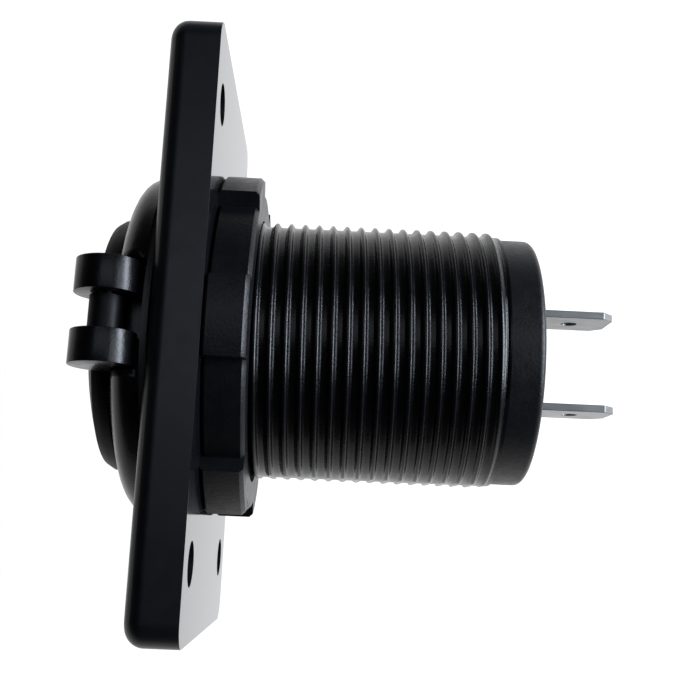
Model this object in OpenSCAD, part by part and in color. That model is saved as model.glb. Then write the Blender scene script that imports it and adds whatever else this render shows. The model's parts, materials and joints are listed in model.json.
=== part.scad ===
// Panel-mount socket with two charging ports under a hinged dust cap.
// +Y runs along the barrel to the rear, +X along the plate's length, +Z up to the cap's hinge.
// The origin is on the barrel's axis, in the plate's back face. All sizes are in millimetres.

/* [Mounting plate] */
// Length of the plate, along X
plate_l = 59.6; // [57:0.2:68]
// Width of the plate, along Z
plate_w = 37; // [37:1:42]
// Thickness of the plate
plate_t = 5.05; // [4:0.05:6]
// Radius of the plate's corners
plate_corner_r = 2.5; // [1.5:0.5:4]
// Radius of the rounded edges round the front face
plate_edge_r = 1.8; // [1:0.1:2.2]
// Distance between the screw holes along X
screw_pitch_x = 45; // [43:1:47]
// Distance between the screw holes along Z
screw_pitch_z = 27; // [25:0.5:28]
// Diameter of the screw holes
screw_hole_d = 4.2; // [3.4:0.1:4.6]
// Diameter of the countersink at the front face
screw_head_d = 7.2; // [6:0.2:7.6]

/* [Barrel] */
// Diameter over the thread's crests
thread_d = 28; // [27.6:0.1:28.6]
// Distance from one crest to the next
thread_pitch = 1.5; // [1.25:0.25:1.75]
// Depth of the thread
thread_depth = 0.45; // [0.3:0.05:0.6]
// Width of a crest's flat top
crest_w = 0.16; // [0.1:0.02:0.3]
// Width of the flat root between two crests
root_w = 0.5; // [0.3:0.05:0.7]
// Length of the barrel behind the plate
barrel_l = 29.4; // [28:0.1:32]
// Distance between the two flats along the barrel's sides
flats_w = 27.2; // [27:0.1:27.6]
// Inner diameter of the barrel
bore_d = 23.9; // [23.7:0.1:24.5]
// Plain stretch at the barrel's rear end
plain_end_l = 0.6; // [0.4:0.1:1]

/* [Bezel] */
// Diameter of the bezel
bezel_d = 36.1; // [35.4:0.1:36.4]
// Height of the bezel above its gasket
bezel_h = 3.15; // [3:0.05:4]
// Height of the bezel's upright rim
bezel_rim_h = 0.7; // [0.4:0.1:1]
// Diameter of the bezel's flat front face
bezel_face_d = 28.2; // [27.6:0.1:29]
// Diameter of the well in front of the ports
well_d = 23; // [22.7:0.1:23.4]
// Depth of the well, from the bezel's front face
well_depth = 4.3; // [4.2:0.1:5]
// Thickness of the gasket under the bezel
gasket_t = 0.6; // [0.4:0.1:1]

/* [Ring nut] */
// Thickness of the nut
nut_t = 4.2; // [3.6:0.1:5.4]
// Diameter over the nut's lugs
nut_lug_d = 37.4; // [36.8:0.2:38.6]
// Diameter of the nut's body between its lugs
nut_body_d = 34.3; // [33:0.1:35.3]
// Width of a lug
nut_lug_w = 7.7; // [6:0.1:9]
// Number of lugs
nut_lugs = 6; // [4:1:8]
// Chamfer round the nut's two rims
nut_chamfer = 0.4; // [0.2:0.1:0.6]
// Angle of the first lug from the hinge side
nut_turn = 0; // [0:0.5:10]

/* [Dust cap and hinge] */
// Diameter of the cap
cap_d = 27; // [26.4:0.1:27.4]
// Height of the cap's upright edge
cap_edge_h = 0.9; // [0.6:0.1:1.2]
// Radius of the rounding round the cap
cap_edge_r = 1; // [0.6:0.1:1.4]
// Height of the cap over its underside at the centre
cap_h = 4; // [3.8:0.1:4.6]
// Thickness of the cap at its centre
cap_wall = 1.6; // [1.2:0.1:1.8]
// Depth that the cap's inner rim reaches into the well
cap_rim_depth = 1.4; // [1:0.1:1.8]
// Wall of the cap's inner rim
cap_rim_wall = 1.2; // [1:0.1:1.6]
// Thickness of the seal under the cap's edge
seal_t = 0.45; // [0.3:0.05:0.6]
// Width of the lip that a finger lifts
lip_w = 8; // [6:0.5:10]
// Distance that the lip stands out from the cap
lip_l = 1.7; // [1.2:0.1:2]
// Thickness of the lip
lip_t = 1; // [0.8:0.1:1.1]
// Height of the hinge axis above the barrel's axis
hinge_z = 16.2; // [16:0.1:16.6]
// Distance of the hinge axis in front of the bezel's front face
hinge_out = 0.4; // [0.3:0.05:0.6]
// Diameter of the two hinge ears on the bezel
ear_d = 6.2; // [5.8:0.1:6.4]
// Width of one ear
ear_w = 3.2; // [2.8:0.1:3.5]
// Gap between the two ears
ear_gap = 3.6; // [3.3:0.1:3.9]
// Distance of the notch's floor below the hinge axis, in the bezel behind the ears
notch_drop = 1.6; // [1.2:0.1:2]
// Diameter of the cap's knuckle between the ears
knuckle_d = 3.2; // [3:0.1:3.6]
// Diameter of the hinge pin
pin_d = 1.6; // [1.4:0.1:1.8]

/* [Ports] */
// Thickness of the port face
face_t = 2; // [1.6:0.1:2.4]
// Outer width of a port's metal shell
shell_w = 13.2; // [13.1:0.05:13.4]
// Outer height of a port's metal shell
shell_h = 5.7; // [5.65:0.05:5.9]
// Length of a port's metal shell
shell_l = 14.2; // [13.8:0.1:15]
// Thickness of the shell's sheet
shell_t = 0.3; // [0.25:0.05:0.4]
// Height of the shell above the board
shell_lift = 1.15; // [1:0.05:1.3]
// Width of the tongue in a port
tongue_w = 11.1; // [10.8:0.1:11.3]
// Thickness of the tongue
tongue_t = 1.84; // [1.7:0.02:1.9]
// Gap between the tongue and the shell's far wall
tongue_gap = 0.75; // [0.6:0.05:0.9]
// Distance of the tongue's front end behind the shell's mouth
tongue_inset = 0.8; // [0.5:0.1:1.2]
// Depth of the insulator's rear block
block_l = 4.6; // [4:0.1:5]
// Width of one contact strip
contact_w = 1; // [0.8:0.05:1.1]
// Thickness of a contact strip
contact_t = 0.25; // [0.2:0.05:0.3]

/* [Circuit board] */
// Width of the board
board_w = 23.3; // [22.8:0.1:23.5]
// Length of the board
board_l = 25.5; // [24.5:0.1:26.2]
// Thickness of the board
board_t = 1.6; // [1.2:0.1:1.8]
// Gap between the port face and the board's front edge
board_front_gap = 1.6; // [1.2:0.1:2]
// Thickness of the guide rails beside the board
rail_t = 0.9; // [0.6:0.1:1.2]
// Width of the guide rails
rail_w = 1.5; // [1.2:0.1:1.8]
// Side of a power inductor's square body
inductor_w = 6.6; // [6:0.1:7]
// Height of a power inductor
inductor_h = 4; // [3:0.1:4.4]
// Diameter of the input capacitor's can
can_d = 6.3; // [5:0.1:6.5]
// Length of the input capacitor's can
can_l = 7.4; // [6:0.1:8]
// Diameter of a small output capacitor
small_can_d = 4; // [3.5:0.1:4.4]
// Height of a small output capacitor
small_can_h = 5.2; // [4:0.1:5.6]

/* [Rear end] */
// Diameter of the rear cap's collar
collar_d = 26.6; // [26.1:0.1:26.9]
// Length of the collar
collar_l = 3.5; // [3:0.1:4.5]
// Rounding of the collar's rear edge
collar_edge_r = 0.7; // [0.4:0.1:1]
// Thickness of the rear cap's end wall
end_wall = 1.8; // [1.4:0.1:2.2]
// Depth that the rear cap's spigot reaches into the barrel
spigot_l = 2.6; // [2:0.1:3]
// Wall of the spigot
spigot_wall = 1.4; // [1:0.1:1.8]
// Distance between the two blade terminals
blade_pitch = 10.1; // [9.6:0.1:11]
// Width of a blade
blade_w = 6.3; // [6.1:0.1:6.4]
// Thickness of a blade
blade_t = 0.8; // [0.75:0.05:0.85]
// Length of a blade behind the rear cap
blade_l = 9.6; // [8:0.1:11]
// Diameter of the detent hole in a blade
blade_hole_d = 1.7; // [1.5:0.1:1.9]
// Distance of the detent hole from the blade's tip
blade_hole_inset = 4.3; // [3.8:0.1:4.8]
// Chamfer at the corners of a blade's tip
blade_chamfer = 1.2; // [0.8:0.1:1.6]
// Width of a blade's tail on the board
tail_w = 3.4; // [3:0.1:4]
// Distance that a blade's shoulder stands out at each side, inside the rear cap
shoulder_out = 0.9; // [0.6:0.1:1.2]
// Length of a blade's shoulder
shoulder_l = 1.2; // [1:0.1:1.6]

/* [Clearances] */
// Radial clearance of the barrel in the plate and in the nut
barrel_clear = 0.15; // [0.1:0.01:0.25]
// Clearance round a piece that is pushed into its seat
seat_clear = 0.1; // [0.06:0.01:0.15]
// Radial clearance of the pin in the cap's knuckle
pin_clear = 0.05; // [0.03:0.01:0.08]
// Clearance between the moving cap and what it passes
cap_clear = 0.3; // [0.25:0.01:0.4]
// Clearance between the seal and the bezel when the cap is shut
seal_clear = 0.1; // [0.05:0.01:0.15]
// Depth that a cut runs past the face it opens
cut_past = 1; // [0.5:0.5:2]

/* [Hidden] */

$fn = 96;
// Number of straight steps in a quarter of a rounded profile
arc_steps = 8;

thread_r = thread_d / 2;
root_r = thread_r - thread_depth;
bore_r = bore_d / 2;
well_r = well_d / 2;
bezel_r = bezel_d / 2;
bezel_face_r = bezel_face_d / 2;
hole_r = thread_r + barrel_clear;

// Places along the barrel's axis
plate_front = -plate_t;
bezel_back = plate_front - gasket_t;
bezel_front = bezel_back - bezel_h;
well_floor = bezel_front + well_depth;
face_back = well_floor + face_t;
board_front = face_back + board_front_gap;
board_back = board_front + board_l;
collar_back = barrel_l + collar_l;
blade_tip = collar_back + blade_l;

// The thread's last crest stands one pitch before the plain end, and its first one is under the nut
last_crest = barrel_l - plain_end_l - thread_pitch / 5;
crest_count = floor((last_crest - thread_pitch / 2) / thread_pitch) + 1;
first_crest = last_crest - (crest_count - 1) * thread_pitch;

// Cap and hinge
seal_face = bezel_front - seal_clear;
cap_under = seal_face - seal_t;
cap_top = cap_under - cap_h;
cap_r = cap_d / 2;
cap_rim_r = well_r - cap_clear;
cap_hollow_r = cap_rim_r - cap_rim_wall;
cap_edge_top = cap_under - cap_edge_h;
// Radius of the dome, which meets the cap's rounding at the top of its edge
dome_rise = cap_h - cap_edge_h - cap_edge_r * 0.8;
dome_run = cap_r - cap_edge_r * 0.5;
dome_r = (dome_run * dome_run + dome_rise * dome_rise) / (2 * dome_rise);
hinge_y = bezel_front - hinge_out;
ear_r = ear_d / 2;
knuckle_r = knuckle_d / 2;
pin_r = pin_d / 2;
ear_in = ear_gap / 2;
ear_out = ear_in + ear_w;
// Plastic left between the pin's blind end and the ear's outer side
pin_end_wall = 0.8;
pin_out = ear_out - pin_end_wall;
arm_w = ear_gap - cap_clear;
// Front face of the arm that joins the knuckle to the cap
arm_front = hinge_y - knuckle_r;

// Ports: the lower one is the upper one turned over about the barrel's axis
shell_bottom = board_t / 2 + shell_lift;
shell_top = shell_bottom + shell_h;
shell_back = well_floor + shell_l;
tongue_top = shell_top - shell_t - tongue_gap;
tongue_under = tongue_top - tongue_t;
contact_under = tongue_under - contact_t;
block_front = shell_back - block_l;
// The two outer contacts of a port reach further forward than the two inner ones
contact_x = [-3.5, -1, 1, 3.5];
contact_back_off = [0, 1, 1, 0];
// Distance of the contact legs from the shell's rear end
leg_inset = 0.9;
// Distance of the contact strips' front ends from the tongue's front end
contact_inset = 0.6;
// Length of one solder tab under the shell and its distance from the shell's ends
tab_l = 1.6;
tab_inset = 3.2;

// Indicator: a light on the board's front corner behind a clear pipe through the port face
pipe_x = 9.1;
pipe_z = 1.5;
pipe_r = 1.1;
pipe_flange_r = 1.6;
pipe_flange_t = 0.6;
lamp_w = 1.6;
lamp_l = 1.4;
lamp_h = 1.4;

// Parts on the board stand in a row behind the port shells, each on both sides of a small can
part_gap = 0.6;
row_front = shell_back + 2 * part_gap;
inductor_x = (small_can_d + inductor_w) / 2 + part_gap;
can_x = (small_can_d + can_d) / 2 + part_gap;
// Chips and diodes are near the board's rear edge, beside and between the blades' slots
slot_l = 3;
chip_w = 3.9;
chip_l = 4.9;
chip_h = 1.5;
chip_back = 2;
foot_l = 1;
foot_w = 0.42;
foot_t = 0.25;
foot_pitch = 1.27;
diode_w = 2.6;
diode_l = 4.3;
diode_h = 2.2;
diode_back = 1.2;
diode_x = (blade_pitch + blade_t + diode_w) / 2 + part_gap;

// Barrel's axis: what is drawn upwards stands along +Y
module along_y() rotate([-90, 0, 0]) children();

// A turned solid from a list of [radius, place along the axis]
module turned(points) along_y() rotate_extrude() polygon(points);

// A bore or plain rod along the barrel's axis
module rod_y(r, y0, y1) translate([0, y0, 0]) along_y() cylinder(r = r, h = y1 - y0);

// A rod along X, across the barrel
module rod_x(r, x0, x1, y, z)
    translate([x0, y, z]) rotate([0, 90, 0]) cylinder(r = r, h = x1 - x0);

// A box between two corners
module box(low, high) translate(low) cube(high - low);

// Points of a quarter ellipse from the outer end to the inner end
function quarter(cr, cy, a, b) =
    [for (i = [0:arc_steps]) [cr + a * cos(90 * i / arc_steps), cy + b * sin(90 * i / arc_steps)]];

// A rectangle with true round corners, centred on the origin
module round_rect(w, h, r) {
    square([w - 2 * r, h], center = true);
    square([w, h - 2 * r], center = true);
    for (sx = [-1, 1], sy = [-1, 1])
        translate([sx * (w / 2 - r), sy * (h / 2 - r)]) circle(r = r);
}

// A rectangle whose two upper corners are round: the section of the plate's rounded front
module edge_section(w, h, r) {
    translate([-w / 2, 0]) square([w, h - r]);
    translate([-w / 2 + r, 0]) square([w - 2 * r, h]);
    for (s = [-1, 1])
        translate([s * (w / 2 - r), h - r]) circle(r = r);
}

module mounting_plate() color("#1c1d20") difference() {
    intersection() {
        rotate([90, 0, 0]) linear_extrude(plate_t) round_rect(plate_l, plate_w, plate_corner_r);
        translate([0, 0, -plate_w / 2]) rotate([0, 0, 180])
            linear_extrude(plate_w) edge_section(plate_l, plate_t, plate_edge_r);
        translate([-plate_l / 2, 0, 0]) rotate([90, 0, 90])
            linear_extrude(plate_l) rotate(90) edge_section(plate_w, plate_t, plate_edge_r);
    }
    rod_y(hole_r, plate_front - cut_past, cut_past);
    for (sx = [-1, 1], sz = [-1, 1])
        translate([sx * screw_pitch_x / 2, 0, sz * screw_pitch_z / 2]) {
            rod_y(screw_hole_d / 2, plate_front - cut_past, cut_past);
            countersink();
        }
}

// Cone for a screw's head, open at the plate's front face
module countersink() {
    depth = (screw_head_d - screw_hole_d) / 2;
    turned([
        [0, plate_front - cut_past],
        [screw_head_d / 2 + cut_past, plate_front - cut_past],
        [screw_head_d / 2, plate_front],
        [screw_hole_d / 2, plate_front + depth],
        [0, plate_front + depth]
    ]);
}

// Points of one thread ridge, from its front root to its rear root
function ridge(y) = [
    [root_r, y - (thread_pitch - root_w) / 2],
    [thread_r, y - crest_w / 2],
    [thread_r, y + crest_w / 2],
    [root_r, y + (thread_pitch - root_w) / 2]
];

module barrel_outside() {
    ridges = [for (i = [0:crest_count - 1]) each ridge(first_crest + i * thread_pitch)];
    neck_end = first_crest - thread_pitch / 2;
    intersection() {
        turned(concat(
            [[0, bezel_back], [thread_r, bezel_back], [thread_r, neck_end - thread_depth],
             [root_r, neck_end]],
            ridges,
            [[root_r, barrel_l], [0, barrel_l]]
        ));
        box([-flats_w / 2, bezel_back, -bezel_r], [flats_w / 2, barrel_l, bezel_r]);
    }
}

module bezel_outside()
    turned(concat(
        [[0, bezel_back], [bezel_r, bezel_back]],
        quarter(bezel_face_r, bezel_back - bezel_rim_h, bezel_r - bezel_face_r,
            -(bezel_h - bezel_rim_h)),
        [[0, bezel_front]]
    ));

// Notch that leaves the hinge ears free of the bezel's rim
module bezel_notch()
    box([-ear_out - cap_clear, bezel_front - cut_past, hinge_z - notch_drop],
        [ear_out + cap_clear, bezel_back + cut_past, bezel_r]);

module threaded_barrel() color("#17181b") {
    difference() {
        union() {
            barrel_outside();
            difference() {
                bezel_outside();
                bezel_notch();
            }
            for (s = [-1, 1])
                rod_x(ear_r, s > 0 ? ear_in : -ear_out, s > 0 ? ear_out : -ear_in,
                    hinge_y, hinge_z);
        }
        rod_y(well_r, bezel_front - ear_d, well_floor + cut_past);
        rod_y(bore_r, well_floor, barrel_l + cut_past);
        rod_x(knuckle_r + cap_clear, -ear_in, ear_in, hinge_y, hinge_z);
        rod_x(pin_r + pin_clear / 2, -ear_out - cut_past, pin_out, hinge_y, hinge_z);
    }
    board_rails();
}

// Two pairs of ribs inside the barrel that hold the board's long edges
module board_rails() {
    rail_in = board_w / 2 - rail_w;
    intersection() {
        difference() {
            rod_y(bore_r + seat_clear, board_front, barrel_l - spigot_l - seat_clear);
            box([-rail_in, face_back, -bore_r], [rail_in, barrel_l, bore_r]);
        }
        for (s = [-1, 1])
            translate([0, 0, s * (board_t / 2 + seat_clear + rail_t / 2)])
                box([-thread_r, face_back, -rail_t / 2], [thread_r, barrel_l, rail_t / 2]);
    }
}

module flange_gasket() color("#2b2b2d") difference() {
    // The gasket's outer edge stays inside the bezel's
    rod_y(bezel_r - gasket_t, bezel_back, plate_front);
    rod_y(hole_r, bezel_back - cut_past, plate_front + cut_past);
}

// Section of the nut out to a radius, with a chamfer at both rims
function nut_section(r) = [
    [0, 0], [r - nut_chamfer, 0], [r, nut_chamfer],
    [r, nut_t - nut_chamfer], [r - nut_chamfer, nut_t], [0, nut_t]
];

module ring_nut() color("#1a1b1e") difference() {
    union() {
        turned(nut_section(nut_body_d / 2));
        intersection() {
            turned(nut_section(nut_lug_d / 2));
            for (i = [0:nut_lugs - 1])
                rotate([0, nut_turn + i * 360 / nut_lugs, 0])
                    box([-nut_lug_w / 2, 0, 0], [nut_lug_w / 2, nut_t, nut_lug_d]);
        }
    }
    rod_y(hole_r, -cut_past, nut_t + cut_past);
}

// Space that a port's shell takes in the port face
module shell_space(clear)
    box([-shell_w / 2 - clear, well_floor - cut_past, shell_bottom - clear],
        [shell_w / 2 + clear, shell_back, shell_top + clear]);

module port_face() color("#202225") difference() {
    rod_y(bore_r - seat_clear, well_floor, face_back);
    for (turn = [0, 180])
        rotate([0, turn, 0]) shell_space(seat_clear);
    translate([pipe_x, 0, pipe_z]) rod_y(pipe_r + seat_clear, well_floor - cut_past, face_back + cut_past);
}

module light_pipe() color("#d9e6f2") translate([pipe_x, 0, pipe_z]) {
    rod_y(pipe_r, well_floor, face_back + pipe_flange_t);
    rod_y(pipe_flange_r - pipe_r / 4, face_back, face_back + pipe_flange_t);
}

// A port's shell: a folded tube on four solder tabs, open below its rear end for the contacts
module port_shell() color("#b9bcc0") {
    difference() {
        box([-shell_w / 2, well_floor, shell_bottom], [shell_w / 2, shell_back, shell_top]);
        box([-shell_w / 2 + shell_t, well_floor - cut_past, shell_bottom + shell_t],
            [shell_w / 2 - shell_t, shell_back + cut_past, shell_top - shell_t]);
        box([-shell_w / 2 + shell_t, shell_back - 2 * leg_inset, shell_bottom - cut_past],
            [shell_w / 2 - shell_t, shell_back + cut_past, shell_bottom + shell_t + cut_past / 2]);
    }
    for (s = [-1, 1], y = [board_front + tab_inset, shell_back - tab_inset - tab_l])
        translate([s * (shell_w - shell_t) / 2, y, 0])
            box([-shell_t / 2, 0, board_t / 2], [shell_t / 2, tab_l, shell_bottom]);
}

module port_insulator() color("#e8e8e4") difference() {
    union() {
        box([-tongue_w / 2, well_floor + tongue_inset, tongue_under],
            [tongue_w / 2, block_front + cut_past, tongue_top]);
        box([-shell_w / 2 + shell_t, block_front, shell_bottom + shell_t],
            [shell_w / 2 - shell_t, shell_back, shell_top - shell_t]);
    }
    for (x = contact_x)
        box([x - contact_w / 2 - seat_clear, block_front - cut_past, shell_bottom],
            [x + contact_w / 2 + seat_clear, shell_back + cut_past, tongue_under]);
}

// Four contact strips under the tongue, each with a leg down to the board
module port_contacts() color("#c9a24a")
    for (i = [0:len(contact_x) - 1])
        translate([contact_x[i], 0, 0]) {
            front = well_floor + tongue_inset + contact_inset + contact_back_off[i];
            box([-contact_w / 2, front, contact_under],
                [contact_w / 2, shell_back - leg_inset, tongue_under]);
            box([-contact_w / 2, shell_back - leg_inset - contact_t, board_t / 2],
                [contact_w / 2, shell_back - leg_inset, tongue_under]);
        }

module circuit_board() color("#1f5a36") difference() {
    box([-board_w / 2, board_front, -board_t / 2], [board_w / 2, board_back, board_t / 2]);
    for (s = [-1, 1])
        translate([s * blade_pitch / 2, 0, 0])
            box([-blade_t / 2 - seat_clear, board_back - slot_l, -board_t],
                [blade_t / 2 + seat_clear, board_back + cut_past, board_t]);
}

// Two shielded inductors, one on each face of the board
module power_inductors() color("#4a4b4f")
    for (turn = [0, 180])
        rotate([0, turn, 0])
            translate([-inductor_x, row_front + inductor_w / 2, board_t / 2])
                linear_extrude(inductor_h) round_rect(inductor_w, inductor_w, inductor_w / 6);

// The can lies along the barrel on the board's upper face
module input_capacitor() color("#2c3d63")
    translate([can_x, 0, (board_t + can_d) / 2])
        rod_y(can_d / 2, row_front, row_front + can_l);

module output_capacitors() color("#a9adb3")
    for (turn = [0, 180])
        rotate([0, turn, 0])
            translate([0, row_front + small_can_d / 2, board_t / 2])
                cylinder(d = small_can_d, h = small_can_h);

// A flat chip with four feet on each side
module chip() {
    translate([-chip_w / 2, 0, foot_t]) cube([chip_w, chip_l, chip_h]);
    for (i = [0:3])
        translate([-chip_w / 2 - foot_l, chip_l / 2 + (i - 1.5) * foot_pitch - foot_w / 2, 0])
            cube([chip_w + 2 * foot_l, foot_w, 2 * foot_t]);
}

// One chip on each face of the board, one for each port
module regulator_chips() color("#15161a")
    for (turn = [0, 180])
        rotate([0, turn, 0])
            translate([0, board_back - chip_back - chip_l, board_t / 2]) chip();

module rectifier_diodes() color("#222327")
    for (s = [-1, 1])
        translate([s * diode_x - diode_w / 2, board_back - diode_back - diode_l, -board_t / 2 - diode_h])
            cube([diode_w, diode_l, diode_h]);

module indicator_light() color("#dfe9f5")
    translate([pipe_x - lamp_w / 2, board_front, board_t / 2])
        cube([lamp_w, lamp_l, lamp_h]);

module rear_cap() color("#1b1c20") difference() {
    union() {
        turned(concat(
            [[0, barrel_l], [collar_d / 2, barrel_l]],
            quarter(collar_d / 2 - collar_edge_r, collar_back - collar_edge_r,
                collar_edge_r, collar_edge_r),
            [[0, collar_back]]
        ));
        rod_y(bore_r - seat_clear, barrel_l - spigot_l, barrel_l + cut_past);
    }
    rod_y(bore_r - seat_clear - spigot_wall, barrel_l - spigot_l - cut_past, collar_back - end_wall);
    for (s = [-1, 1])
        translate([s * blade_pitch / 2, 0, 0])
            box([-blade_t / 2 - seat_clear, collar_back - end_wall - cut_past, -blade_w / 2 - seat_clear],
                [blade_t / 2 + seat_clear, collar_back + cut_past, blade_w / 2 + seat_clear]);
}

// A flat blade: its tip is chamfered, a shoulder stops it inside the rear cap, its tail meets the board
module blade() {
    shoulder_w = blade_w + 2 * shoulder_out;
    shoulder_y = collar_back - end_wall;
    tail_front = board_back - slot_l + seat_clear;
    half = blade_w / 2;
    rotate([0, -90, 0]) translate([0, 0, -blade_t / 2]) difference() {
        linear_extrude(blade_t) polygon([
            [-tail_w / 2, tail_front], [-tail_w / 2, shoulder_y - shoulder_l],
            [-shoulder_w / 2, shoulder_y - shoulder_l], [-shoulder_w / 2, shoulder_y],
            [-half, shoulder_y], [-half, blade_tip - blade_chamfer],
            [-half + blade_chamfer, blade_tip], [half - blade_chamfer, blade_tip],
            [half, blade_tip - blade_chamfer], [half, shoulder_y],
            [shoulder_w / 2, shoulder_y], [shoulder_w / 2, shoulder_y - shoulder_l],
            [tail_w / 2, shoulder_y - shoulder_l], [tail_w / 2, tail_front]
        ]);
        translate([0, blade_tip - blade_hole_inset, -cut_past])
            cylinder(d = blade_hole_d, h = blade_t + 2 * cut_past);
    }
}

module positive_blade() color("#c8c9c6") translate([-blade_pitch / 2, 0, 0]) blade();

module negative_blade() color("#c8c9c6") translate([blade_pitch / 2, 0, 0]) blade();

// Points of the cap's dome, from its rounding to its centre
function dome() = [
    for (i = [0:arc_steps])
        let (r = dome_run * (1 - i / arc_steps))
            [r, cap_top + dome_r - sqrt(dome_r * dome_r - r * r)]
];

module dust_cap() color("#16171a") difference() {
    union() {
        turned(concat(
            [[0, cap_under], [cap_r, cap_under], [cap_r, cap_edge_top]],
            dome()
        ));
        rod_y(cap_rim_r, cap_under, bezel_front + cap_rim_depth);
        rod_x(knuckle_r, -arm_w / 2, arm_w / 2, hinge_y, hinge_z);
        box([-arm_w / 2, arm_front, cap_r - 2 * knuckle_r], [arm_w / 2, cap_under, hinge_z]);
        box([-lip_w / 2, cap_under - lip_t, -cap_r - lip_l], [lip_w / 2, cap_under, -cap_rim_r]);
    }
    rod_y(cap_hollow_r, cap_top + cap_wall, bezel_front + cap_rim_depth + cut_past);
    for (s = [-1, 1])
        rod_x(ear_r + cap_clear,
            s > 0 ? ear_in - cap_clear / 2 : -ear_out - cap_clear,
            s > 0 ? ear_out + cap_clear : -ear_in + cap_clear / 2,
            hinge_y, hinge_z);
    rod_x(pin_r + pin_clear, -ear_in - cut_past, ear_in + cut_past, hinge_y, hinge_z);
}

module cap_seal() color("#303033") difference() {
    rod_y(cap_r - cap_clear, cap_under, seal_face);
    rod_y(cap_rim_r + seat_clear, cap_under - cut_past, bezel_front);
    rod_x(ear_r + cap_clear, -ear_out - cap_clear, ear_out + cap_clear, hinge_y, hinge_z);
}

module hinge_pin() color("#a5a8ac")
    rod_x(pin_r, -ear_out + pin_end_wall / 4, pin_out - seat_clear, hinge_y, hinge_z);

mounting_plate();
threaded_barrel();
flange_gasket();
ring_nut();
port_face();
light_pipe();
port_shell();  // upper_port_shell
rotate([0, 180, 0]) port_shell();  // lower_port_shell
port_insulator();  // upper_port_insulator
rotate([0, 180, 0]) port_insulator();  // lower_port_insulator
port_contacts();  // upper_port_contacts
rotate([0, 180, 0]) port_contacts();  // lower_port_contacts
circuit_board();
power_inductors();
input_capacitor();
output_capacitors();
regulator_chips();
rectifier_diodes();
indicator_light();
rear_cap();
positive_blade();
negative_blade();
dust_cap();
cap_seal();
hinge_pin();
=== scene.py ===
"""Looks of the panel-mount socket: finishes, thread, softened edges, camera, light and floor."""

import json
import math

import bmesh
import bpy
from mathutils import Matrix, Vector


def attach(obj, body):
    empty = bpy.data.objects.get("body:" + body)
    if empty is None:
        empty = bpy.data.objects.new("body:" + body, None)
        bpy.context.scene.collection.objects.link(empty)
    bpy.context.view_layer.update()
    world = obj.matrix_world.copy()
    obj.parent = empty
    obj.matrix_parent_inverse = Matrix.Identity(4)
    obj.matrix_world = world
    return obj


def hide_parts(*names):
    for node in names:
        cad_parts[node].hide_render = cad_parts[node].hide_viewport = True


MM = 0.001

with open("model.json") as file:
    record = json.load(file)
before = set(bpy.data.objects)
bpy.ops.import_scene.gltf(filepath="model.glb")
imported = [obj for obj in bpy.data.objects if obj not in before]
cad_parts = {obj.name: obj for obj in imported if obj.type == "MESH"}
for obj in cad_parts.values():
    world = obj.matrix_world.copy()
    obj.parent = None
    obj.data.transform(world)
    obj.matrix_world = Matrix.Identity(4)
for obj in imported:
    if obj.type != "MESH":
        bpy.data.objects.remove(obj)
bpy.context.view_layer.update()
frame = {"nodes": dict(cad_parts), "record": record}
NODES = frame["nodes"]
SLOT_OF = {row["node"]: row["material_slot"] for row in frame["record"]["subparts"]}
BODY_OF = {
    node: body
    for body, nodes in frame["record"]["behaviour"]["bodies"].items()
    for node in nodes
}

# Camera: it looks down on the barrel from behind the plate
PICTURE_PX = 680
SENSOR_MM = 36.0
FOCAL_PX = 991.7
CLIP_START_MM = 5.0
CAMERA_TURN_DEG = 10.98
CAMERA_DISTANCE_MM = 108.61
CAMERA_ALONG_MM = 11.38
CAMERA_ACROSS_MM = -1.43
CAMERA_LEAN_DEG = 2.64
CAMERA_YAW_DEG = 0.85
CAMERA_PITCH_DEG = -0.08

# Thread on the barrel in millimetres, as in the part's source
THREAD_R = 14.0
THREAD_PITCH = 1.5
THREAD_DEPTH = 0.45
CREST_W = 0.16
ROOT_W = 0.5
FIRST_CREST = 1.5
LAST_CREST = 28.5
FLAT_X = 13.6

# Outline of the thread's flank, as shares of its width and of the thread's depth
FLANK = ((0.2, 0.05), (0.5, 0.45), (0.86, 0.93), (1.0, 0.985))
EVEN_ROOT_SHARE = 0.7
THREAD_COLUMNS = 192
THREAD_SEAM_MM = 0.002
RUN_OUT_TURNS = 0.5
SPARE_TURNS = 2

# Hinge ears on the bezel in millimetres, as in the part's source, and the softness of their rims
EAR_X = (1.8, 5.0)
EAR_R = 3.1
HINGE_Y = -9.2
HINGE_Z = 16.2
EAR_EDGE = 0.2
EAR_EDGE_STEPS = 3
EAR_EDGE_MIN_DEG = 60

# Corners of the mounting plate in millimetres, as in the part's source: the centre of the upright
# rounding, its radius, the front edge's radius and where the front edge begins to round
CORNER_X = 27.3
CORNER_Z = 16.0
CORNER_R = 2.5
EDGE_R = 1.8
EDGE_Y = -3.25
CORNER_CUTS = 7
CORNER_SEAM_MM = 0.001

# Width of the softened edges in millimetres, for each node that is drawn anew
SOFT_EDGE_MM = {
    "mounting_plate": 0.15,
    "ring_nut": 0.18,
    "rear_cap": 0.12,
    "positive_blade": 0.07,
    "negative_blade": 0.07,
    "dust_cap": 0.15,
}
SOFT_MIN_DEG = 35
SOFT_STEPS = 2
SHARP_DEG = 32
THREAD_SHARP_DEG = 40
SEAM_MM = 0.0001
COPLANAR_DEG = 0.4

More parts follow.
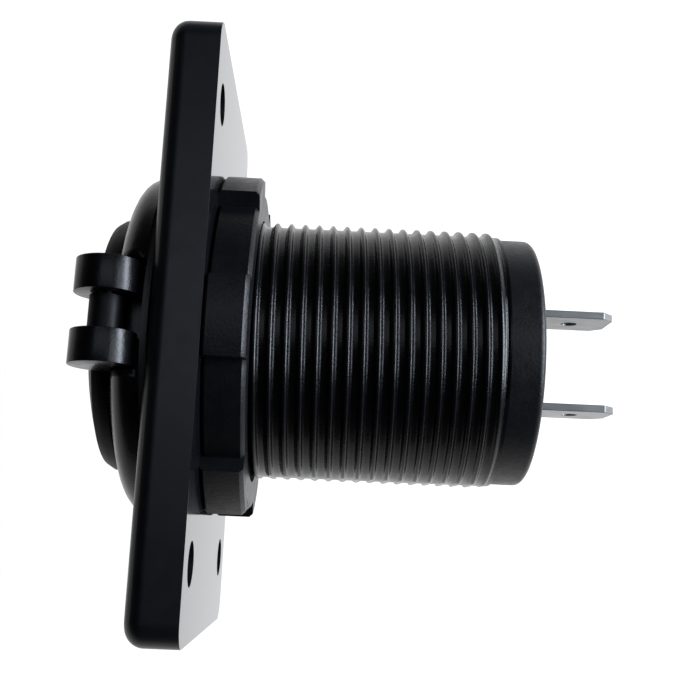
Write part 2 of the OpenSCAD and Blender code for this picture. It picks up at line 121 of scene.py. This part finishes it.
# Studio, in metres and watts
FLOOR_Z = -0.075
FLOOR_HALF = 1.5
FLOOR_COLOURS = ((0.42, 0.385, 0.35), (0.44, 0.405, 0.37))
FLOOR_GLOW = 0.68
WALL_COLOUR = (0.93, 0.95, 1.0, 1.0)
WALL_FADE = {"From Min": 0.05, "From Max": 0.6, "To Min": 0.12, "To Max": 0.015}
LIGHT_COLOUR = (0.8, 0.88, 1.0)
BARREL_MIDDLE = (0, 0.012, 0)
LIGHTS = {
    "rear_light": dict(
        place=(-0.05, 0.3, 0.11), width=0.26, height=0.1, power=2.6, aim=BARREL_MIDDLE
    ),
    "high_rear_light": dict(
        place=(-0.02, 0.22, 0.2), width=0.2, height=0.12, power=0.4, aim=BARREL_MIDDLE
    ),
    "top_light": dict(
        place=(-0.07, 0.02, 0.3), width=0.12, height=0.24, power=0.12, aim=(-0.07, 0.02, 0)
    ),
}


def camera():
    """Camera at the photograph's viewing angle."""
    turn = math.radians(CAMERA_TURN_DEG)
    lean = math.radians(CAMERA_LEAN_DEG)
    yaw = math.radians(CAMERA_YAW_DEG)
    pitch = math.radians(CAMERA_PITCH_DEG)
    along = Vector((0, 1, 0))
    toward = Vector((math.sin(turn), 0, math.cos(turn)))
    across = Vector((math.cos(turn), 0, -math.sin(turn)))
    leaning = along * math.cos(lean) - across * math.sin(lean)
    right = leaning * math.cos(yaw) + toward * math.sin(yaw)
    forward = right.cross(along * math.sin(lean) + across * math.cos(lean))
    down = forward.cross(right)
    forward, down = (
        forward * math.cos(pitch) + down * math.sin(pitch),
        down * math.cos(pitch) - forward * math.sin(pitch),
    )
    data = bpy.data.cameras.new("camera")
    data.sensor_width = SENSOR_MM
    data.lens = FOCAL_PX * SENSOR_MM / PICTURE_PX
    data.clip_start = CLIP_START_MM * MM
    obj = bpy.data.objects.new("camera", data)
    place = along * CAMERA_ALONG_MM + toward * CAMERA_DISTANCE_MM + across * CAMERA_ACROSS_MM
    turned = Matrix((right, -down, -forward)).transposed().to_4x4()
    obj.matrix_world = Matrix.Translation(place * MM) @ turned
    bpy.context.scene.collection.objects.link(obj)
    bpy.context.scene.camera = obj


class Finish:
    """One material, with short names for the nodes that it is made of."""

    def __init__(self, name):
        self.material = bpy.data.materials.new(name)
        self.material.use_nodes = True
        self.tree = self.material.node_tree
        self.shader = self.tree.nodes["Principled BSDF"]
        self.place = self.add("ShaderNodeTexCoord").outputs["Object"]

    def add(self, kind, **settings):
        """A new node with its settings."""
        node = self.tree.nodes.new(kind)
        for key, value in settings.items():
            setattr(node, key, value)
        return node

    def link(self, source, target):
        """A link between two sockets."""
        self.tree.links.new(source, target)

    def set(self, **values):
        """Values of the shader's own sockets."""
        for key, value in values.items():
            self.shader.inputs[key.replace("_", " ")].default_value = value

    def stretched(self, scale):
        """Object coordinates scaled by three factors."""
        node = self.add("ShaderNodeMapping")
        node.inputs["Scale"].default_value = scale
        self.link(self.place, node.inputs["Vector"])
        return node.outputs["Vector"]

    def noise(self, per_mm, detail=3, vector=None):
        """Noise with a grain of 1/per_mm millimetres."""
        node = self.add("ShaderNodeTexNoise")
        node.inputs["Scale"].default_value = per_mm / MM
        node.inputs["Detail"].default_value = detail
        node.inputs["Roughness"].default_value = 0.55
        self.link(vector or self.place, node.inputs["Vector"])
        return node.outputs["Fac"]

    def cells(self, per_mm):
        """Distance to the nearest of a field of scattered points."""
        node = self.add("ShaderNodeTexVoronoi")
        node.inputs["Scale"].default_value = per_mm / MM
        self.link(self.place, node.inputs["Vector"])
        return node.outputs["Distance"]

    def ramp(self, value, low, high, out_low, out_high):
        """Smooth step from one value to another while the input goes from low to high."""
        node = self.add("ShaderNodeMapRange", interpolation_type="SMOOTHSTEP")
        node.inputs["From Min"].default_value = low
        node.inputs["From Max"].default_value = high
        node.inputs["To Min"].default_value = out_low
        node.inputs["To Max"].default_value = out_high
        self.link(value, node.inputs["Value"])
        return node.outputs["Result"]

    def math(self, operation, first, second):
        """Result of one operation on two outputs or numbers."""
        node = self.add("ShaderNodeMath", operation=operation)
        for socket, value in zip(node.inputs, (first, second)):
            if isinstance(value, (int, float)):
                socket.default_value = value
            else:
                self.link(value, socket)
        return node.outputs["Value"]

    def axis(self, name):
        """One object coordinate, in millimetres."""
        node = self.add("ShaderNodeSeparateXYZ")
        self.link(self.place, node.inputs["Vector"])
        return self.math("MULTIPLY", node.outputs[name], 1 / MM)

    def colour(self, share, first, second):
        """Base colour between two colours, by a share from 0 to 1."""
        node = self.add("ShaderNodeMix", data_type="RGBA")
        ends = [socket for socket in node.inputs if socket.type == "RGBA"]
        for socket, tint in zip(ends, (first, second)):
            socket.default_value = (*tint, 1)
        shares = [s for s in node.inputs if s.name == "Factor" and s.type == "VALUE"]
        mixed = [socket for socket in node.outputs if socket.type == "RGBA"]
        self.link(share, shares[0])
        self.link(mixed[0], self.shader.inputs["Base Color"])

    def mottle(self, patches, first, second, low=0.35, high=0.7):
        """Base colour that goes over into a second one in patches."""
        self.colour(self.ramp(patches, low, high, 0, 1), first, second)

    def roughness(self, output):
        """Roughness from a node's output."""
        self.link(output, self.shader.inputs["Roughness"])

    def between(self, patches, low, high):
        """Value that goes from low to high over the middle range of a noise."""
        return self.ramp(patches, 0.3, 0.7, low, high)

    def bump(self, height, depth_mm, strength=1.0):
        """Fine relief on the surface."""
        node = self.add("ShaderNodeBump")
        node.inputs["Strength"].default_value = strength
        node.inputs["Distance"].default_value = depth_mm * MM
        self.link(height, node.inputs["Height"])
        self.link(node.outputs["Normal"], self.shader.inputs["Normal"])


def scaled(tint, factor):
    """A colour made lighter or darker."""
    return tuple(share * factor for share in tint)


def black_plastic(name, tint, rough, grain_mm, depth_mm, shine=0.18):
    """Moulded black plastic: fine grain, faint mottling and a few rubbed spots."""
    lighter = scaled(tint, 1.15)
    spread = 0.04
    pit_share = 0.6
    finish = Finish(name)
    finish.mottle(finish.noise(per_mm=0.25, detail=4), tint, lighter, high=0.75)
    rubbed = finish.noise(per_mm=0.8, detail=5)
    finish.roughness(finish.between(rubbed, rough - spread, rough + spread))
    pits = finish.cells(per_mm=pit_share / grain_mm)
    grain = finish.math("ADD", finish.noise(per_mm=1 / grain_mm, detail=2), pits)
    finish.bump(grain, depth_mm)
    finish.set(Specular_IOR_Level=shine)
    return finish.material


def plate_plastic():
    """The plate's satin black, smoother on its back face, which was moulded on polished steel."""
    tint = (0.0035, 0.0037, 0.005)
    lighter = (0.0045, 0.0048, 0.0062)
    back_from_mm = -0.06
    back_to_mm = -0.02
    back_share = 0.3
    finish = Finish("plate_plastic")
    finish.mottle(finish.noise(per_mm=0.12), tint, lighter)
    satin = finish.between(finish.noise(per_mm=0.6, detail=4), 0.31, 0.37)
    at_back = finish.ramp(finish.axis("Y"), back_from_mm, back_to_mm, 0, 1)
    smoother = finish.ramp(at_back, 0, 1, 1, back_share)
    finish.roughness(finish.math("MULTIPLY", satin, smoother))
    grain = finish.math("ADD", finish.noise(per_mm=6, detail=2), finish.cells(per_mm=3.5))
    finish.bump(grain, depth_mm=0.003, strength=0.6)
    finish.set(Specular_IOR_Level=0.25)
    return finish.material


def plated_metal(name, tint, rough, along=(1, 0.04, 1), metallic=1.0):
    """Plated sheet with fine drawing lines."""
    darker = scaled(tint, 0.82)
    smoother_by = 0.07
    rougher_by = 0.08
    finish = Finish(name)
    finish.mottle(finish.noise(per_mm=0.5, detail=4), tint, darker)
    lines = finish.noise(per_mm=9, vector=finish.stretched(along))
    finish.roughness(finish.between(lines, rough - smoother_by, rough + rougher_by))
    finish.bump(lines, depth_mm=0.004)
    finish.set(Metallic=metallic)
    return finish.material


def rubber(name, tint):
    """Soft dull rubber."""
    lighter = scaled(tint, 1.6)
    finish = Finish(name)
    finish.colour(finish.noise(per_mm=1.5), tint, lighter)
    finish.roughness(finish.between(finish.noise(per_mm=3), 0.62, 0.78))
    finish.bump(finish.noise(per_mm=5), depth_mm=0.01)
    return finish.material


def clear_plastic(name):
    """Clear moulded plastic with a faint tint."""
    finish = Finish(name)
    finish.set(Base_Color=(0.85, 0.91, 0.97, 1), Transmission_Weight=0.85, IOR=1.49)
    finish.roughness(finish.between(finish.noise(per_mm=2, detail=2), 0.08, 0.2))
    finish.bump(finish.noise(per_mm=3, detail=2), depth_mm=0.003)
    return finish.material


def plain_plastic(name, tint, rough):
    """Smooth plastic, resin or lacquer of one colour."""
    darker = scaled(tint, 0.88)
    spread = 0.06
    finish = Finish(name)
    finish.mottle(finish.noise(per_mm=0.6, detail=4), tint, darker, low=0.3)
    finish.roughness(finish.between(finish.noise(per_mm=2), rough - spread, rough + spread))
    finish.bump(finish.noise(per_mm=6, detail=2), depth_mm=0.004)
    return finish.material


def floor_paint():
    """Pale matt paint that glows a little, so that it has no dark shadows."""
    finish = Finish("floor_paint")
    finish.colour(finish.noise(per_mm=0.01, detail=2), *FLOOR_COLOURS)
    finish.set(Roughness=0.9, Emission_Color=(1, 1, 1, 1), Emission_Strength=FLOOR_GLOW)
    return finish.material


BLACK_PLASTICS = {
    "barrel_plastic": dict(tint=(0.002, 0.002, 0.0025), rough=0.25, grain_mm=0.16, depth_mm=0.006),
    "nut_plastic": dict(tint=(0.003, 0.003, 0.0038), rough=0.38, grain_mm=0.22, depth_mm=0.012),
    "collar_plastic": dict(tint=(0.004, 0.0042, 0.005), rough=0.4, grain_mm=0.2, depth_mm=0.012),
    "cap_plastic": dict(
        tint=(0.002, 0.002, 0.0024), rough=0.48, grain_mm=0.2, depth_mm=0.008, shine=0.1
    ),
    "port_plastic": dict(tint=(0.008, 0.008, 0.009), rough=0.5, grain_mm=0.2, depth_mm=0.008),
}
METALS = {
    "plated_steel": dict(tint=(0.17, 0.17, 0.168), rough=0.36, metallic=0.85),
    "pin_steel": dict(tint=(0.6, 0.61, 0.62), rough=0.25, along=(0.04, 1, 1)),
    "plated_brass": dict(tint=(0.83, 0.64, 0.3), rough=0.25),
    "can_metal": dict(tint=(0.75, 0.76, 0.78), rough=0.3),
}
PLAIN_PLASTICS = {
    "white_insulator": dict(tint=(0.78, 0.78, 0.74), rough=0.42),
    "board_laminate": dict(tint=(0.02, 0.16, 0.06), rough=0.35),
    "ferrite": dict(tint=(0.09, 0.09, 0.095), rough=0.6),
    "can_sleeve": dict(tint=(0.02, 0.035, 0.12), rough=0.3),
    "chip_resin": dict(tint=(0.015, 0.015, 0.017), rough=0.5),
    "lamp_resin": dict(tint=(0.8, 0.86, 0.92), rough=0.2),
}
MATERIALS = {
    "plate_plastic": plate_plastic(),
    "soft_rubber": rubber("soft_rubber", tint=(0.012, 0.012, 0.012)),
    "clear_plastic": clear_plastic("clear_plastic"),
    **{name: black_plastic(name, **look) for name, look in BLACK_PLASTICS.items()},
    **{name: plated_metal(name, **look) for name, look in METALS.items()},
    **{name: plain_plastic(name, **look) for name, look in PLAIN_PLASTICS.items()},
}


def paint(obj, slot_name):
    """Gives an object the material of one slot."""
    obj.data.materials.clear()
    obj.data.materials.append(MATERIALS[slot_name])


def shade(mesh, sharp_deg=SHARP_DEG):
    """Smooth shading with sharp edges kept."""
    mesh.shade_smooth()
    mesh.set_sharp_from_angle(angle=math.radians(sharp_deg))


def piece(name, bm, node, sharp_deg=SHARP_DEG):
    """A finished mesh that stands for a node and rides on its body."""
    mesh = bpy.data.meshes.new(name)
    bm.to_mesh(mesh)
    bm.free()
    shade(mesh, sharp_deg)
    obj = bpy.data.objects.new(name, mesh)
    bpy.context.scene.collection.objects.link(obj)
    paint(obj, SLOT_OF[node])
    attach(obj, BODY_OF[node])
    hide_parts(node)
    return obj


def clean_copy(node):
    """A node's mesh as a bmesh, with its seams joined and its flat faces whole."""
    bm = bmesh.new()
    bm.from_mesh(NODES[node].data)
    bmesh.ops.remove_doubles(bm, verts=bm.verts, dist=SEAM_MM * MM)
    flat = math.radians(COPLANAR_DEG)
    bmesh.ops.dissolve_limit(bm, angle_limit=flat, verts=bm.verts, edges=bm.edges)
    return bm


def round_edges(bm, edges, width_mm, steps):
    """Rounds edges over a width on each side."""
    bmesh.ops.bevel(
        bm, geom=edges, offset=width_mm * MM, offset_type="OFFSET", segments=steps,
        profile=0.5, affect="EDGES", clamp_overlap=True,
    )


def cut(bm, faces, axis, place_mm):
    """Cuts faces at one place along an axis, and leaves both halves."""
    normal = Vector([float(k == axis) for k in range(3)])
    verts = {vert for face in faces for vert in face.verts}
    edges = {edge for face in faces for edge in face.edges}
    bmesh.ops.bisect_plane(
        bm, geom=[*verts, *edges, *faces], dist=1e-8,
        plane_co=normal * place_mm * MM, plane_no=normal,
    )


def corner_faces(bm, side_x, side_z):
    """Faces of the plate's front edge at one of its four corners."""
    near = 0.001

    def inside(vert):
        x, y, z = (c / MM for c in vert.co)
        beside = side_x * x > CORNER_X - near and side_z * z > CORNER_Z - near
        return beside and y < EDGE_Y + near

    return [face for face in bm.faces if all(inside(vert) for vert in face.verts)]


def cut_corner(bm, side_x, side_z):
    """Divides the front edge's faces at one corner finely enough to be rounded."""
    step = CORNER_R / CORNER_CUTS
    for k in range(1, CORNER_CUTS):
        depth = EDGE_R * math.sin(k / CORNER_CUTS * math.pi / 2)
        cut(bm, corner_faces(bm, side_x, side_z), 0, side_x * (CORNER_X + k * step))
        cut(bm, corner_faces(bm, side_x, side_z), 2, side_z * (CORNER_Z + k * step))
        cut(bm, corner_faces(bm, side_x, side_z), 1, EDGE_Y - depth)


def draw_in(vert):
    """Moves a point that stands out at a corner onto the rounding that runs round it."""
    x, y, z = (c / MM for c in vert.co)
    dx = abs(x) - CORNER_X
    dz = abs(z) - CORNER_Z
    if min(dx, dz, EDGE_Y - y) <= 0:
        return
    core = CORNER_R - EDGE_R
    out = math.hypot(dx, dz)
    beyond = math.hypot(out - core, EDGE_Y - y)
    if out <= core or beyond <= EDGE_R:
        return
    share = EDGE_R / beyond
    inward = (core + (out - core) * share) / out
    new_x = math.copysign(CORNER_X + dx * inward, x)
    new_z = math.copysign(CORNER_Z + dz * inward, z)
    vert.co = Vector((new_x, EDGE_Y + (y - EDGE_Y) * share, new_z)) * MM


def round_corners(bm):
    """Lets the plate's rounded front edge run round its corners, as a moulded edge does."""
    for side in (-1, 1):
        cut(bm, list(bm.faces), 0, side * CORNER_X)
        cut(bm, list(bm.faces), 2, side * CORNER_Z)
    cut(bm, list(bm.faces), 1, EDGE_Y)
    for side_x in (-1, 1):
        for side_z in (-1, 1):
            cut_corner(bm, side_x, side_z)
    for vert in bm.verts:
        draw_in(vert)
    bmesh.ops.remove_doubles(bm, verts=bm.verts, dist=CORNER_SEAM_MM * MM)


def flat_faces_lead(obj):
    """Normals that follow the large faces, so that only the rounded edges bend the light."""
    leader = obj.modifiers.new("flat_faces_lead", "WEIGHTED_NORMAL")
    leader.weight = 100
    leader.keep_sharp = True


def softened(node, width_mm):
    """The node with its sharp edges rounded, as moulding or stamping leaves them."""
    bm = clean_copy(node)
    if node == "mounting_plate":
        round_corners(bm)
    sharp = math.radians(SOFT_MIN_DEG)
    edges = [e for e in bm.edges if len(e.link_faces) == 2 and e.calc_face_angle(0) > sharp]
    round_edges(bm, edges, width_mm, SOFT_STEPS)
    flat_faces_lead(piece(node + "_soft", bm, node))


def soften_ears(bm):
    """Rounds the rims of the hinge ears."""
    near = 0.01
    sharp = math.radians(EAR_EDGE_MIN_DEG)

    def on_rim(vert):
        x, y, z = (c / MM for c in vert.co)
        at_side = any(abs(abs(x) - side) < near for side in EAR_X)
        return at_side and abs(math.hypot(y - HINGE_Y, z - HINGE_Z) - EAR_R) < near

    rims = [e for e in bm.edges if all(map(on_rim, e.verts)) and e.calc_face_angle(0) > sharp]
    round_edges(bm, rims, EAR_EDGE, EAR_EDGE_STEPS)


def thread_profile():
    """One turn's outline as (place along the axis, height over the root), from root to root."""
    half_root = ROOT_W / 2
    flank_w = (THREAD_PITCH - ROOT_W - CREST_W) / 2
    rising = [(half_root * EVEN_ROOT_SHARE, 0.0)]
    rising += [(half_root + flank_w * along, THREAD_DEPTH * up) for along, up in FLANK]
    falling = [(THREAD_PITCH - place, height) for place, height in reversed(rising)]
    return [(0.0, 0.0), *rising, (THREAD_PITCH / 2, THREAD_DEPTH), *falling]


def remove_rings(bm, start, end):
    """Deletes the barrel's surface where the thread comes."""
    near = 0.02
    lowest = THREAD_R - THREAD_DEPTH - near

    def on_thread(vert):
        x, y, z = (c / MM for c in vert.co)
        return math.hypot(x, z) > lowest and start - near < y < end + near

    ringed = [face for face in bm.faces if all(on_thread(vert) for vert in face.verts)]
    bmesh.ops.delete(bm, geom=ringed, context="FACES")


def thread_point(share, turn, height, start, end):
    """Point of the helix at a share of a turn, kept between the thread's ends and its flats."""
    y = start + (turn + share) * THREAD_PITCH
    run_out = min(y - start, end - y) / (THREAD_PITCH * RUN_OUT_TURNS)
    r = THREAD_R - THREAD_DEPTH + height * min(max(run_out, 0), 1)
    angle = 2 * math.pi * share
    x = min(max(r * math.sin(angle), -FLAT_X), FLAT_X)
    return Vector((x, min(max(y, start), end), r * math.cos(angle))) * MM


def helix_rows(start, end):
    """Rows of the helix, each as (place in turns, height over the root)."""
    turns = range(-SPARE_TURNS, int((end - start) / THREAD_PITCH) + SPARE_TURNS + 1)
    profile = thread_profile()
    return [(turn + place / THREAD_PITCH, height) for turn in turns for place, height in profile]


def join_rims(bm, y):
    """Closes the seam between the thread's last row and the plain barrel."""
    near = 0.005

    def at_seam(vert):
        return abs(vert.co.y / MM - y) < near

    rims = [edge for edge in bm.edges if edge.is_boundary and all(map(at_seam, edge.verts))]
    bmesh.ops.bridge_loops(bm, edges=rims)


def add_helix(bm, start, end):
    """A right-hand thread between two places along the axis, joined to the barrel."""
    shares = [k / THREAD_COLUMNS for k in range(THREAD_COLUMNS + 1)]
    grid = [
        [bm.verts.new(thread_point(share, turn, height, start, end)) for share in shares]
        for turn, height in helix_rows(start, end)
    ]
    for lower, upper in zip(grid, grid[1:]):
        for k in range(THREAD_COLUMNS):
            bm.faces.new((lower[k], lower[k + 1], upper[k + 1], upper[k]))
    points = [vert for row in grid for vert in row]
    bmesh.ops.remove_doubles(bm, verts=points, dist=THREAD_SEAM_MM * MM)
    join_rims(bm, start)
    join_rims(bm, end)
    bmesh.ops.recalc_face_normals(bm, faces=bm.faces)


def threaded_barrel():
    """The barrel with a true helix in place of the rings, cut by the two long flats."""
    start = FIRST_CREST - THREAD_PITCH / 2
    end = LAST_CREST + (THREAD_PITCH - ROOT_W) / 2
    bm = clean_copy("threaded_barrel")
    soften_ears(bm)
    remove_rings(bm, start, end)
    add_helix(bm, start, end)
    piece("threaded_barrel_helix", bm, "threaded_barrel", THREAD_SHARP_DEG)


def softbox(name, place, width, height, power, aim):
    """A soft rectangular light that faces a point."""
    data = bpy.data.lights.new(name, "AREA")
    data.color = LIGHT_COLOUR
    data.shape = "RECTANGLE"
    data.size = width
    data.size_y = height
    data.energy = power
    obj = bpy.data.objects.new(name, data)
    obj.location = place
    obj.rotation_euler = (Vector(aim) - Vector(place)).to_track_quat("-Z", "Y").to_euler()
    bpy.context.scene.collection.objects.link(obj)


def floor():
    """Pale floor under the part."""
    bm = bmesh.new()
    bmesh.ops.create_grid(bm, x_segments=8, y_segments=8, size=FLOOR_HALF)
    mesh = bpy.data.meshes.new("floor")
    bm.to_mesh(mesh)
    bm.free()
    obj = bpy.data.objects.new("floor", mesh)
    obj.location = (0, 0, FLOOR_Z)
    obj.data.materials.append(floor_paint())
    bpy.context.scene.collection.objects.link(obj)


def walls():
    """Dim surroundings, darker toward the ceiling."""
    world = bpy.data.worlds.new("studio")
    world.use_nodes = True
    tree = world.node_tree
    background = tree.nodes["Background"]
    coords = tree.nodes.new("ShaderNodeTexCoord")
    split = tree.nodes.new("ShaderNodeSeparateXYZ")
    fade = tree.nodes.new("ShaderNodeMapRange")
    fade.interpolation_type = "SMOOTHSTEP"
    for key, number in WALL_FADE.items():
        fade.inputs[key].default_value = number
    tree.links.new(coords.outputs["Generated"], split.inputs["Vector"])
    tree.links.new(split.outputs["Z"], fade.inputs["Value"])
    tree.links.new(fade.outputs["Result"], background.inputs["Strength"])
    background.inputs["Color"].default_value = WALL_COLOUR
    bpy.context.scene.world = world


def stage():
    """Pale floor, dim walls and three soft lights."""
    floor()
    walls()
    for name, light in LIGHTS.items():
        softbox(name, **light)
    bpy.context.scene.view_settings.view_transform = "Standard"


camera()
for node, obj in NODES.items():
    paint(obj, SLOT_OF[node])
    shade(obj.data)
threaded_barrel()
for node, width_mm in SOFT_EDGE_MM.items():
    softened(node, width_mm)
stage()
